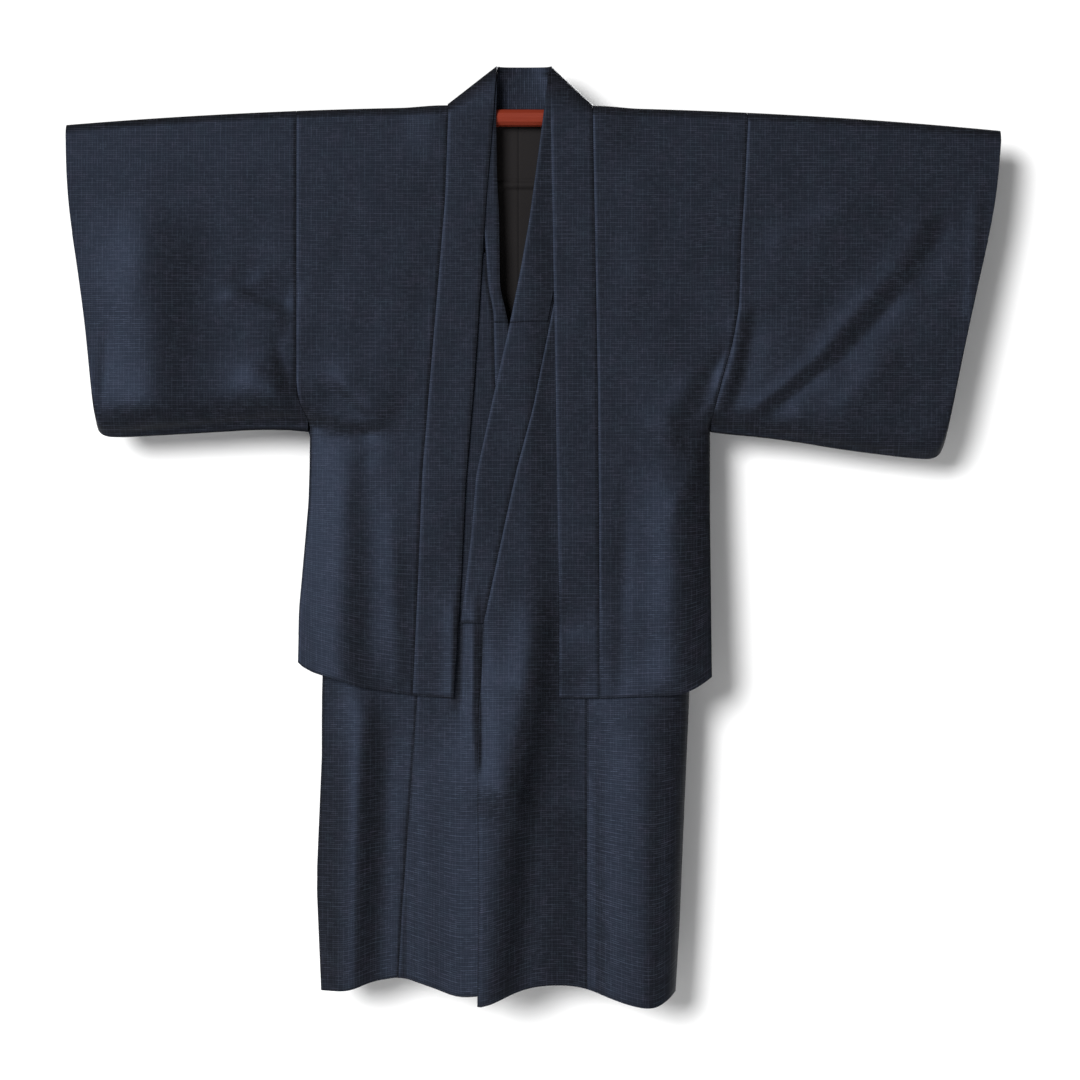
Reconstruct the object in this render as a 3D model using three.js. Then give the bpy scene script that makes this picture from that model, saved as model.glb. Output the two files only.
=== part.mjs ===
// A man's kimono with a haori worn over it, hung in a T on a plain round rod.
// Millimetres, +X to the viewer's right, +Z up, the viewer at -Y; the origin is the middle of the rod.
import * as THREE from 'three';

// ---- driving dimensions ----
const ROD_RADIUS = 13.5;
const ROD_ENDS = [-668, 690];
const ROD_BOW = 6.22e-5;          // the rod sags by this times x squared
const ROD_TILT = 0.004;           // and its right end hangs lower by this times x
const SEAM = 0.3;                 // gap that two pieces keep where they are sewn or lie on each other
const CLOTH = 1.5;                // a lined cloth wall
const BAND = 2;                   // a folded collar band
const COVER = 1;                  // the over-collar and the back lining
const KIMONO_LEVEL = ROD_RADIUS + SEAM + CLOTH / 2;
const HAORI_LEVEL = KIMONO_LEVEL + CLOTH + SEAM;
const KIMONO_BAND_LEVEL = ROD_RADIUS + SEAM + BAND / 2;
const HAORI_BAND_LEVEL = 19.6;    // clear of both kimono collars
const LOOSE = 4;                  // the haori hangs this much clearer of the kimono below the shoulder
const OVERLAP_LIFT = 4;           // the left front rides this far over the right front and its collar
const COVER_STEP = BAND / 2 + 2 * SEAM + COVER / 2;
const KIMONO_LENGTH = 1330;
const HAORI_LENGTH = 892;
const SWELL = 18;                 // how much further each face stands out at the kimono's hem
const NECK_TURN = Math.PI / 3;    // how far past the shoulder line the back neckline drops round the rod

// ---- small helpers ----
const clamp = (value, low, high) => Math.min(high, Math.max(low, value));
const mix = (a, b, t) => a + (b - a) * t;
const smooth = (t) => clamp(t, 0, 1) ** 2 * (3 - 2 * clamp(t, 0, 1));
const ramp = (value, from, to) => smooth((value - from) / (to - from));
const steps = (count, from = 0, to = 1) => Array.from({ length: count + 1 }, (_, i) => mix(from, to, i / count));

// A function through the rows of a table: column `to` against column `from`, straight between rows.
function track(rows, from, to) {
  return (value) => {
    const after = rows.findIndex((row) => (row[from] - value) * (rows.at(-1)[from] - rows[0][from]) >= 0);
    if (after === 0) return rows[0][to];
    if (after === -1) return rows.at(-1)[to];
    const [a, b] = [rows[after - 1], rows[after]];
    return mix(a[to], b[to], (value - a[from]) / (b[from] - a[from]));
  };
}
const table = (names, ...rows) => rows.map((row) => Object.fromEntries(names.map((name, i) => [name, row[i]])));
const rodZ = (x) => -ROD_BOW * x * x - ROD_TILT * x;

// Unit normals of a grid of points, from the directions to the neighbours on both sides.
function gridNormals(grid, isRing) {
  const count = grid[0].length;
  return grid.map((row, i) => row.map((_, j) => {
    const [before, after] = isRing
      ? [(j + count - 1) % count, (j + 1) % count]
      : [Math.max(j - 1, 0), Math.min(j + 1, count - 1)];
    const across = row[after].clone().sub(row[before]);
    const along = grid[Math.min(i + 1, grid.length - 1)][j].clone().sub(grid[Math.max(i - 1, 0)][j]);
    return along.cross(across).normalize();
  }));
}
const moved = (grid, distance, isRing = false) => {
  const normals = gridNormals(grid, isRing);
  return grid.map((row, i) => row.map((point, j) => point.clone().addScaledVector(normals[i][j], distance)));
};

// One closed wall of even thickness about a grid of points; a ring's rows join end to end.
function wall(grid, thickness, isRing = false) {
  const count = grid[0].length;
  const layers = [moved(grid, thickness / 2, isRing), moved(grid, -thickness / 2, isRing)];
  const positions = layers.flat(2).flatMap((point) => point.toArray());
  const faces = [];
  const id = (layer, i, j) => (layer * grid.length + i) * count + (j % count);
  const quad = (a, b, c, d) => faces.push(a, b, c, a, c, d);
  for (let i = 0; i < grid.length - 1; i += 1) {
    for (let j = 0; j < (isRing ? count : count - 1); j += 1) {
      quad(id(0, i, j), id(0, i + 1, j), id(0, i + 1, j + 1), id(0, i, j + 1));
      quad(id(1, i, j), id(1, i, j + 1), id(1, i + 1, j + 1), id(1, i + 1, j));
    }
  }
  for (let j = 0; j < (isRing ? count : count - 1); j += 1) {
    const last = grid.length - 1;
    quad(id(0, 0, j), id(0, 0, j + 1), id(1, 0, j + 1), id(1, 0, j));
    quad(id(0, last, j + 1), id(0, last, j), id(1, last, j), id(1, last, j + 1));
  }
  for (let i = 0; i < grid.length - 1 && !isRing; i += 1) {
    const last = count - 1;
    quad(id(0, i + 1, 0), id(0, i, 0), id(1, i, 0), id(1, i + 1, 0));
    quad(id(0, i, last), id(0, i + 1, last), id(1, i + 1, last), id(1, i, last));
  }
  return solid(positions, faces);
}

// A geometry from points and faces, turned the right way out if its volume comes out negative.
function solid(positions, faces) {
  let volume = 0;
  const [a, b, c] = [new THREE.Vector3(), new THREE.Vector3(), new THREE.Vector3()];
  for (let i = 0; i < faces.length; i += 3) {
    [a, b, c].forEach((point, k) => point.fromArray(positions, faces[i + k] * 3));
    volume += a.dot(b.cross(c));
  }
  if (volume < 0) faces.reverse();
  const geometry = new THREE.BufferGeometry();
  geometry.setAttribute('position', new THREE.Float32BufferAttribute(positions, 3));
  geometry.setIndex(faces);
  geometry.computeVertexNormals();
  return geometry;
}

// ---- the cut, seen flat from the front: x of each seam and edge against height z ----
const LEFT = -1;
const RIGHT = 1;
const haoriSide = {
  [LEFT]: table(['z', 'x'], [0, -346.5], [-434, -346.5], [-465, -342], [-487, -326],
    [-560, -326.5], [-620, -328], [-742, -337.3], [-804, -342], [-892, -343.5]),
  [RIGHT]: table(['z', 'x'], [0, 346.5], [-126, 340], [-189, 335.7], [-293, 332.6],
    [-354, 323], [-403, 309.5], [-487, 289], [-620, 288.5], [-892, 291]),
};
const kimonoSide = {
  [LEFT]: table(['z', 'x'], [0, -338], [-350, -330], [-450, -298], [-545, -298], [-900, -308],
    [-988, -308], [-1173, -315.7], [-1330, -309]),
  [RIGHT]: table(['z', 'x'], [0, 338], [-126, 332], [-250, 318], [-354, 295], [-450, 258],
    [-545, 256], [-881, 257], [-1050, 249.5], [-1235, 241.8], [-1330, 236]),
};
const haoriBand = {
  [LEFT]: table(['z', 'seam', 'edge'], [0, -114, -44], [-126, -118.6, -55], [-280, -131.4, -65],
    [-403, -141.7, -73], [-557, -154, -86], [-705, -159.5, -93], [-892, -168, -105]),
  [RIGHT]: table(['z', 'seam', 'edge'], [0, 108.5, 44], [-129, 111, 46.2], [-403, 116, 51.3],
    [-614, 118, 54.4], [-747, 118.5, 57], [-892, 118.6, 57]),
};
const kimonoBand = {
  [LEFT]: table(['z', 'seam', 'edge'], [0, -97, -40], [-91, -77, -38.5], [-149, -64, -35.4],
    [-183, -57.4, -35], [-260, -52, -33.9], [-296, -44, -25], [-400, -42, -4], [-500, -36, 6],
    [-600, -30, 10], [-758, -20, 13]),
  [RIGHT]: table(['z', 'seam', 'edge'], [0, 95, 32.3], [-71, 83, 22.9], [-160, 70, 10.8],
    [-234, 58.5, -2.2], [-313, 43, -18.5], [-366, 32.3, -31.5], [-445, 16.5, -50],
    [-536, -8.5, -70.5], [-627, -29.3, -78], [-758, -59, -94]),
};
const okumi = {                    // its seam to the body panel, and the front edge below the collar
  [LEFT]: table(['z', 'seam', 'edge'], [-206, -59, -56], [-266, -80, -51], [-313, -100, -43],
    [-400, -115, -42], [-600, -140, -30], [-758, -151, -20], [-1240, -185, -20], [-1330, -190, -20]),
  [RIGHT]: table(['z', 'seam', 'edge'], [-206, 65, 62], [-266, 84, 52], [-313, 95, 43],
    [-400, 100, 24], [-758, 100, -59], [-838, 100, -62], [-884, 100, -65.5], [-1026, 100, -68],
    [-1167, 100, -65.5], [-1330, 100, -68]),
};
const kimonoHem = {
  [LEFT]: table(['x', 'z'], [-308, -1343], [-269, -1343], [-231, -1328], [-185, -1320],
    [-139, -1335], [-99, -1350], [-68, -1348], [-20, -1340]),
  [RIGHT]: table(['x', 'z'], [-68, -1363], [-58, -1364], [-43, -1358], [-29, -1351], [-8, -1343],
    [20, -1335], [51, -1333], [82, -1335], [111, -1343], [130, -1351], [165, -1363], [197, -1369],
    [216, -1363], [237, -1343]),
};
const haoriHem = {
  [LEFT]: table(['x', 'z'], [-343, -838], [-330, -850], [-314, -855], [-250, -875], [-169, -888],
    [-105, -892]),
  [RIGHT]: table(['x', 'z'], [57, -893], [119, -893], [242, -887], [259, -881], [274, -873],
    [291, -860]),
};
// Each ring of a sleeve runs from `top` on the shoulder fold to a point of the sewn edge, which
// goes out along the bottom, round the corner and up to the stop of the cuff.
const haoriRings = {
  [LEFT]: table(['top', 'x', 'z'], [-346.8, -326, -487], [-400, -380, -481], [-455, -434, -484],
    [-510, -496, -487], [-560, -558, -490], [-600, -605, -492], [-632, -636, -493],
    [-655, -651, -488], [-672, -657, -470], [-686, -659, -410], [-695, -664, -345], [-701, -670, -280]),
  [RIGHT]: table(['top', 'x', 'z'], [346.8, 289, -493], [400, 345, -498], [455, 400, -500],
    [510, 455, -510], [565, 520, -518], [615, 580, -524], [652, 628, -529], [682, 645, -524],
    [705, 654, -490], [721, 665, -425], [731, 678, -350], [736, 691, -280]),
};
const CUFF_BOW = 8;                // the open cuff edge bows out from a straight line
const NECK_TOPS = {                // corners of the standing collar, where it folds to the back
  haori: { z: 80, [LEFT]: -38.5, [RIGHT]: 44.5 },
  kimono: { z: 71, [LEFT]: -37, [RIGHT]: 41 },
};

// ---- how the cloth stands out: soft troughs and ridges along slanting lines ----
const fold = ['x1', 'z1', 'x2', 'z2', 'width', 'depth'];
const frontFolds = table(fold,
  [-268, -980, -266, -1400, 24, 9], [-203, -920, -205, -1400, 28, -13],
  [-20, -860, -42, -1400, 42, 15], [72, -800, 45, -1400, 36, -15], [198, -880, 200, -1400, 46, 14],
  [-278, -540, -284, -860, 28, 7], [-236, -580, -236, -900, 22, -6], [235, -520, 238, -860, 40, 8],
  [-495, -110, -490, -360, 40, -6], [-588, -120, -575, -440, 46, 7], [-430, -380, -370, -440, 26, 5],
  [650, -170, 340, -450, 30, -8], [560, -120, 420, -260, 60, 6], [590, -380, 480, -470, 40, 7]);
const backFolds = table(fold,
  [-210, -800, -220, -1400, 36, 14], [-120, -900, -120, -1400, 34, -12], [-10, -850, -8, -1400, 40, 15],
  [80, -900, 78, -1400, 30, -13], [160, -800, 165, -1400, 34, 12], [-220, -420, -240, -860, 50, 6],
  [190, -460, 200, -860, 46, 6], [620, -140, 400, -420, 40, -6], [-600, -160, -430, -420, 44, -5]);
function foldDepth(folds, x, z) {
  return folds.reduce((total, row) => {
    const [runX, runZ] = [row.x2 - row.x1, row.z2 - row.z1];
    const t = clamp(((x - row.x1) * runX + (z - row.z1) * runZ) / (runX * runX + runZ * runZ), 0, 1);
    const along = Math.max(0, Math.hypot(runX * t - (x - row.x1), (runZ * t - (z - row.z1))));
    return total + row.depth * Math.exp(-((along / row.width) ** 2)) * smooth(0.25 + 2 * t);
  }, 0);
}
// Distance of a face from the middle plane; `isFront` picks its folds.
function faceDepth(level, x, z, isFront) {
  return level + SWELL * ramp(z, -100, -1300) + foldDepth(isFront ? frontFolds : backFolds, x, z);
}
const SEWN = 1.7;                  // half the distance between two faces where they are sewn together
const closing = (distance) => 1 - Math.exp(-Math.max(0, distance) / 14);

// ---- rows that pieces share, so that their sewn edges have the same points ----
// v runs from the rod's level (0) to the hem (1); the sleeve is sewn down to ARMHOLE.
const haoriV = [0, 0.03, 0.08, 0.14, 0.2, 0.27, 0.34, 0.41, 0.48, 0.52, 0.546, 0.6, 0.68, 0.76, 0.84, 0.92, 1];
const kimonoV = [0, 0.03, 0.07, 0.11, 0.155, 0.2, 0.235, 0.27, 0.3, 0.34, 0.358, 0.41, 0.46, 0.51, 0.57,
  0.63, 0.68, 0.74, 0.8, 0.86, 0.92, 0.97, 1];
const haoriBackV = [...haoriV.filter((v) => v <= 0.92), 0.948];
const kimonoBackV = [...kimonoV.filter((v) => v <= 0.358), 0.46, 0.57, 0.68, 0.8, 0.9, 1];
const SHOULDER = [30, 60, 90, 105, 120, 135, 150].map(THREE.MathUtils.degToRad);

const garments = {
  haori: {
    length: HAORI_LENGTH, rows: haoriV, backRows: haoriBackV, armhole: 0.546, side: haoriSide, hem: haoriHem,
    backHem: -880, band: haoriBand, bandLevel: HAORI_BAND_LEVEL, sewnGrows: 0.06,
  },
  kimono: {
    length: KIMONO_LENGTH, rows: kimonoV, backRows: kimonoBackV, armhole: 0.34, side: kimonoSide,
    hem: kimonoHem, backHem: -1316, band: kimonoBand, bandLevel: KIMONO_BAND_LEVEL, sewnGrows: 0,
  },
};

// Height of a point at x on row v, and the cut's own height for the same row.
const rowZ = (garment, hemZ, x, v) => mix(rodZ(x), hemZ, v);
const cutZ = (garment, v) => -v * garment.length;

// The level of a garment's face before swell and folds: what it has to clear near the front edges.
function levelOf(name, half, x, z, fromSeam) {
  const hung = HAORI_LEVEL + LOOSE * ramp(z, -15, -90);
  if (name === 'haori') return mix(hung, HAORI_BAND_LEVEL - 0.25, ramp(fromSeam, 76, 11));
  return KIMONO_LEVEL + overlapLift(half, x);
}
const overlapLift = (half, x) => (half === RIGHT ? OVERLAP_LIFT * ramp(x, 60, 5) : 0);

// Depth of a body panel: its face, drawn in to the sewn side.
function panelDepth(garment, level, x, z, sideX, v, isFront) {
  const face = faceDepth(level, x, z, isFront);
  const above = (garment.armhole - v) * garment.length;
  const sewn = above > 0
    ? SEWN + (face - SEWN) * closing(above)
    : SEWN - above * garment.sewnGrows;
  return mix(sewn, face, 1 - Math.exp(-Math.abs(x - sideX) / 22));
}

// A row across the shoulder at an angle round the rod, 0 in front and pi behind.
const onShoulder = (x, radius, angle) => new THREE.Vector3(
  x, -radius * Math.cos(angle), rodZ(x) + radius * Math.sin(angle));
// The back neckline goes from the side of the neck to the middle as it turns round the rod.
const necklineX = (neckX, angle) => neckX * Math.sqrt(1 - clamp((angle - Math.PI / 2) / NECK_TURN, 0, 1));

// Inner edge of a front panel: the collar seam, and for the kimono the okumi seam below its tip.
function frontInner(name, half, z) {
  const tip = okumi[half][0].z;
  const rows = name === 'kimono' && z <= tip ? okumi[half] : garments[name].band[half];
  return track(rows, 'z', 'seam')(z);
}

// One strip of cloth from the front hem over the shoulder to the back hem.
function bodyGrid(name, half, columns) {
  const garment = garments[name];
  const sideX = track(garment.side[half], 'z', 'x');
  const hemZ = track(garment.hem[half], 'x', 'z');
  const across = steps(columns);
  const front = garment.rows.toReversed().map((v) => across.map((u) => {
    const side = sideX(cutZ(garment, v));
    const inner = frontInner(name, half, cutZ(garment, v));
    const x = mix(side, inner, u);
    const z = rowZ(garment, hemZ(x), x, v);
    const level = levelOf(name, half, x, z, Math.abs(x - inner));
    return new THREE.Vector3(x, -panelDepth(garment, level, x, z, side, v, true), z);
  }));
  const neckX = frontInner(name, half, 0);
  const shoulder = SHOULDER.map((angle) => across.map((u) => {
    const x = mix(sideX(0), angle < Math.PI * 0.82 ? necklineX(neckX, angle) : half * SEAM, u);
    return onShoulder(x, levelOf(name, LEFT, x, 0, Math.abs(x) - Math.abs(neckX)), angle);
  }));
  const back = garment.backRows.map((v) => across.map((u) => {
    const side = sideX(cutZ(garment, v));
    const x = mix(side, half * SEAM, u);
    const z = rowZ(garment, garment.backHem, x, v);
    const near = Math.abs(x) - Math.abs(neckX) + 400 * ramp(z, -10, -150);
    const level = levelOf(name, LEFT, x, z, near);
    return new THREE.Vector3(x, panelDepth(garment, level, x, z, side, v, false), z);
  }));
  return [...front, ...shoulder, ...back];
}

// A sleeve: rings from the shoulder fold down the front to the sewn edge and up the back.
function sleeveGrid(name, half, rings) {
  const garment = garments[name];
  const rows = garment.rows.filter((v) => v <= garment.armhole);
  const sideX = track(garment.side[half], 'z', 'x');
  const hems = { front: track(garment.hem[half], 'x', 'z'), back: () => garment.backHem };
  return rings.map((ring, j) => {
    const away = (1 - j / (rings.length - 1)) ** 2;
    const face = (isFront) => rows.map((v) => {
      const t = v / garment.armhole;
      const topZ = rodZ(ring.top);
      const seamX = sideX(cutZ(garment, v)) + half * SEAM * (1 + t);
      const hemZ = isFront ? hems.front(seamX) : hems.back();
      const seamZ = rowZ(garment, hemZ, seamX, v);
      const first = rings[0];
      const bend = seamX - mix(first.top, first.x, t);
      const drop = seamZ - mix(rodZ(first.top), first.z, t);
      const bow = half * CUFF_BOW * Math.sin(Math.PI * t) * (1 - away) ** 6;
      const x = mix(ring.top, ring.x, t) + bend * away + bow;
      const z = mix(topZ, ring.z, t) + drop * away;
      const depth = faceDepth(levelOf(name, LEFT, x, z, Infinity), x, z, isFront);
      const sewn = SEWN + (depth - SEWN) * closing((1 - t) * Math.abs(topZ - ring.z));
      return new THREE.Vector3(x, isFront ? -sewn : sewn, z);
    });
    const over = SHOULDER.map((angle) => onShoulder(ring.top, levelOf(name, LEFT, ring.top, 0, Infinity), angle));
    const [front, back] = [face(true), face(false)];
    const foot = front.at(-1).clone().lerp(back.at(-1), 0.5);
    const inward = new THREE.Vector3(ring.x - ring.top, 0, ring.z - rodZ(ring.top)).normalize();
    return [...front.toReversed(), ...over, ...back, foot.addScaledVector(inward, CLOTH)];
  });
}

// A kimono sleeve lies inside its haori sleeve: the same rings, fewer, drawn in all round.
const SLEEVE_INSET = { x: 14, z: 34 };
function innerRings(half) {
  const side = track(kimonoSide[half], 'z', 'x');
  const armholeZ = -garments.kimono.armhole * KIMONO_LENGTH;
  const kept = haoriRings[half].filter((_, j) => ![0, 6, 10].includes(j));
  const inset = half * SLEEVE_INSET.x;
  const sewn = { top: half * (Math.abs(side(0)) + SEAM), x: side(armholeZ), z: armholeZ };
  return [sewn, ...kept.slice(1).map((ring) => (
    { top: ring.top - inset, x: ring.x - inset, z: ring.z + SLEEVE_INSET.z }))];
}

// Half of a collar: rows from the front's end up to the middle of the back, each from the seam to
// the free edge. Past the shoulder the band folds over on the slant and stands behind the neck.
function bandHalf(name, half, end, start) {
  const garment = garments[name];
  const [seam, edge] = ['seam', 'edge'].map((key) => track(garment.band[half], 'z', key));
  const hemZ = track(garment.hem[half], 'x', 'z');
  const across = steps(3, start);
  const front = garment.rows.filter((v) => v <= end).toReversed().map((v) => across.map((u) => {
    const [from, to] = [seam(cutZ(garment, v)) - half * SEAM, edge(cutZ(garment, v))];
    const x = mix(from, to, u);
    const z = rowZ(garment, hemZ(x), x, v);
    const level = garment.bandLevel + (name === 'kimono' ? overlapLift(half, x) : 0);
    return new THREE.Vector3(x, -faceDepth(level, x, z, true), z);
  }));
  const top = NECK_TOPS[name];
  const middle = (top[LEFT] + top[RIGHT]) / 2;
  const turns = SHOULDER.map((angle) => {
    const rise = Math.sin(Math.min(angle, Math.PI / 2));
    const inward = Math.max(0, angle / NECK_TURN - 1.5) ** 2;
    const freeX = mix(mix(edge(0), top[half], rise), middle, inward);
    const depth = -garment.bandLevel * Math.cos(angle * 1.2);
    const free = new THREE.Vector3(freeX, depth, mix(0, top.z, rise));
    const seamX = necklineX(seam(0) - half * SEAM, angle);
    const foot = onShoulder(seamX, garment.bandLevel, angle);
    foot.z += (BAND / 2 + 2 * SEAM) * Math.sin(angle);
    return across.map((u) => foot.clone().lerp(free, u));
  });
  return [...front, ...turns];
}
function bandGrid(name, ends, start = 0) {
  const [left, right] = [LEFT, RIGHT].map((half) => bandHalf(name, half, ends[half], start));
  left.at(-1).forEach((point, j) => point.lerp(right.at(-1)[j], 0.5));
  return [...left, ...right.slice(0, -1).toReversed()];
}

// The overlap panel between the body panel and the collar seam or its own front edge.
const OKUMI_TOP = 0.155;
function okumiGrid(half, columns) {
  const garment = garments.kimono;
  const hemZ = track(kimonoHem[half], 'x', 'z');
  const [seam, edge] = ['seam', 'edge'].map((key) => track(okumi[half], 'z', key));
  const bandSeam = track(kimonoBand[half], 'z', 'seam');
  return garment.rows.filter((v) => v >= OKUMI_TOP).map((v) => steps(columns).map((u) => {
    const cut = cutZ(garment, v);
    const inner = cut >= kimonoBand[half].at(-1).z - 1 ? bandSeam(cut) : edge(cut);
    const x = mix(seam(cut) - half * SEAM, inner, u);
    const z = rowZ(garment, hemZ(x), x, v);
    return new THREE.Vector3(x, -faceDepth(levelOf('kimono', half, x, z, 0), x, z, true), z);
  }));
}

// The side gusset of the haori: sewn to the front and the back, folded in between them.
const GUSSET_TOP = 0.6;
function gussetGrid(half) {
  const garment = garments.haori;
  const sideX = track(haoriSide[half], 'z', 'x');
  const hemZ = track(haoriHem[half], 'x', 'z');
  return haoriBackV.filter((v) => v >= GUSSET_TOP).map((v) => {
    const x = sideX(cutZ(garment, v));
    const reach = SEWN + (v - garment.armhole) * garment.length * garment.sewnGrows - CLOTH - SEAM;
    return steps(6, -1, 1).map((w) => {
      const z = mix(rowZ(garment, hemZ(x), x, v), rowZ(garment, garment.backHem, x, v), (w + 1) / 2);
      return new THREE.Vector3(x - half * 1.1 * reach * (1 - Math.abs(w)), reach * w, z);
    });
  });
}

// The dark lining inside the kimono's back, seen through the neck: two halves and a middle seam.
const LINING = { half: 112, top: 6, foot: 390, seamX: -6 };
function liningGrid(half) {
  return steps(7, -LINING.top, -LINING.foot).map((z) => steps(3).map((u) => {
    const x = mix(half * LINING.half, LINING.seamX + half * SEAM, u);
    const level = KIMONO_LEVEL - CLOTH / 2 - SEAM - COVER / 2;
    return new THREE.Vector3(x, faceDepth(level, x, z, false), z);
  }));
}

// The round rod: twelve-sided sections that follow its sag, with flat ends.
function rodGeometry() {
  const stations = steps(24, ...ROD_ENDS);
  const sides = 12;
  const positions = stations.flatMap((x) => steps(sides - 1, 0, 2 * Math.PI * (1 - 1 / sides)).flatMap(
    (angle) => [x, ROD_RADIUS * Math.cos(angle), rodZ(x) + ROD_RADIUS * Math.sin(angle)]));
  const faces = [];
  for (let k = 0; k < sides; k += 1) {
    const next = (k + 1) % sides;
    for (let i = 0; i < stations.length - 1; i += 1) {
      const [here, there] = [i * sides, (i + 1) * sides];
      faces.push(here + k, there + k, there + next, here + k, there + next, here + next);
    }
    if (k > 1) faces.push(0, k - 1, k);
    if (k > 1) {
      const last = (stations.length - 1) * sides;
      faces.push(last, last + k, last + k - 1);
    }
  }
  return solid(positions, faces);
}

// ---- the set ----
const finishes = {
  cloth: { color: 0x2b3443, roughness: 0.72, metalness: 0 },
  lining: { color: 0x231f1f, roughness: 0.8, metalness: 0 },
  lacquer: { color: 0x9b3d28, roughness: 0.45, metalness: 0 },
};
const set = new THREE.Group();
function add(name, geometry, finish = 'cloth') {
  const mesh = new THREE.Mesh(geometry, new THREE.MeshStandardMaterial(finishes[finish]));
  mesh.name = name;
  set.add(mesh);
}

add('rod', rodGeometry(), 'lacquer');
const sides = { left: LEFT, right: RIGHT };
for (const [word, half] of Object.entries(sides)) {
  add(`kimono_body_${word}`, wall(bodyGrid('kimono', half, 8), CLOTH));
  add(`kimono_okumi_${word}`, wall(okumiGrid(half, 4), CLOTH));
  add(`kimono_sleeve_${word}`, wall(sleeveGrid('kimono', half, innerRings(half)), CLOTH, true));
  add(`kimono_lining_${word}`, wall(liningGrid(half), COVER), 'lining');
  add(`haori_body_${word}`, wall(bodyGrid('haori', half, 8), CLOTH));
  add(`haori_gusset_${word}`, wall(gussetGrid(half), CLOTH));
  add(`haori_sleeve_${word}`, wall(sleeveGrid('haori', half, haoriRings[half]), CLOTH, true));
}
const COLLAR_END = 0.57;
const COVER_END = 0.235;
const COVER_START = 0.06;         // the over-collar stops this share of the band short of its seam
add('kimono_collar', wall(bandGrid('kimono', { [LEFT]: COLLAR_END, [RIGHT]: COLLAR_END }), BAND));
const coverGrid = bandGrid('kimono', { [LEFT]: COVER_END, [RIGHT]: COVER_END }, COVER_START);
add('kimono_over_collar', wall(moved(coverGrid, -COVER_STEP), COVER));
add('haori_collar', wall(bandGrid('haori', { [LEFT]: 1, [RIGHT]: 1 }), BAND));

export default set;
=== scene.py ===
import math

import bpy
import numpy as np
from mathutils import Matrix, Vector


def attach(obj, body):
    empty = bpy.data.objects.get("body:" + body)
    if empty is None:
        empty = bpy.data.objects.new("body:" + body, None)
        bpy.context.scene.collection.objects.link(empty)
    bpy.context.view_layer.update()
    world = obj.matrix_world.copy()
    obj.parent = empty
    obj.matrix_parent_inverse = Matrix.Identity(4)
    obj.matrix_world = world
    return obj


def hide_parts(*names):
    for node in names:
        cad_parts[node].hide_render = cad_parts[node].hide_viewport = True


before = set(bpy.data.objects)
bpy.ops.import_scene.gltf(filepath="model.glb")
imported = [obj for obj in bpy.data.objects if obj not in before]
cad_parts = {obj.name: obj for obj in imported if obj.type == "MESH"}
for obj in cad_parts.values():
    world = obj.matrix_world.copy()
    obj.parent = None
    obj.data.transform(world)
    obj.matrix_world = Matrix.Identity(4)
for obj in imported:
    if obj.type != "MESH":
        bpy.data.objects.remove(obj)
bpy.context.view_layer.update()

# The rod: a round wooden pole, brushed with vermilion lacquer and rubbed dull where the cloth
# slides on it. It is held in the middle and goes through both garments' sleeves.


class Value:
    """A shader socket in an expression: each operator adds the Math node that works it out."""

    def __init__(self, tree, socket):
        self.tree, self.socket = tree, socket

    def math(self, operation, *items):
        node = self.tree.nodes.new("ShaderNodeMath")
        node.operation = operation
        for slot, item in zip(node.inputs, items):
            if isinstance(item, Value):
                self.tree.links.new(item.socket, slot)
            else:
                slot.default_value = item
        return Value(self.tree, node.outputs[0])

    def __add__(self, other):
        return self.math("ADD", self, other)

    def __sub__(self, other):
        return self.math("SUBTRACT", self, other)

    def __rsub__(self, other):
        return self.math("SUBTRACT", other, self)

    def __mul__(self, other):
        return self.math("MULTIPLY", self, other)

    def __truediv__(self, other):
        return self.math("DIVIDE", self, other)

    def floor(self):
        return self.math("FLOOR", self)

    def fract(self):
        return self.math("FRACT", self)

    def size(self):
        return self.math("ABSOLUTE", self)

    def power(self, exponent):
        return self.math("POWER", self, exponent)


class Finish:
    """A material with one Principled surface; `node` makes any other node it needs."""

    def __init__(self, name, **constants):
        self.material = bpy.data.materials.new(name)
        self.material.use_nodes = True
        self.tree = self.material.node_tree
        self.surface = self.tree.nodes["Principled BSDF"]
        for socket, value in constants.items():
            self.surface.inputs[socket.replace("_", " ")].default_value = value

    def node(self, kind, settings, sockets, output=0):
        made = self.tree.nodes.new("ShaderNode" + kind)
        for key, value in settings.items():
            setattr(made, key, value)
        for key, value in sockets.items():
            if isinstance(value, Value):
                self.tree.links.new(value.socket, made.inputs[key])
            else:
                made.inputs[key].default_value = value
        return Value(self.tree, made.outputs[output])

    def blend(self, factor, first, second):
        """A mix of two colours by a factor."""
        return self.node("Mix", {"data_type": "RGBA"}, {0: factor, 6: first, 7: second}, 2)

    def feed(self, socket, value):
        self.tree.links.new(value.socket, self.surface.inputs[socket])

    def bump(self, height, distance, strength):
        sockets = {"Height": height, "Distance": distance, "Strength": strength}
        normal = self.node("Bump", {}, sockets)
        self.feed("Normal", normal)


lacquer = Finish("vermilion_lacquer", Specular_IOR_Level=0.15)
place = lacquer.node("TexCoord", {}, {}, "Object")
along_grain = lacquer.node("Mapping", {}, {"Vector": place, "Scale": (4, 60, 60)})
grain = lacquer.node("TexNoise", {}, {"Vector": along_grain, "Scale": 6, "Detail": 4}, "Fac")
wear = lacquer.node("TexNoise", {}, {"Vector": place, "Scale": 22, "Detail": 3}, "Fac")
lacquer.feed("Base Color", lacquer.blend(grain * 0.6 + wear * 0.3, (0.21, 0.029, 0.012, 1),
                                         (0.15, 0.018, 0.008, 1)))
lacquer.feed("Roughness", wear * 0.25 + 0.32)
lacquer.bump(grain, 0.0004, 0.4)
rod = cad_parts["rod"]
rod.data.materials.clear()
rod.data.materials.append(lacquer.material)

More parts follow.
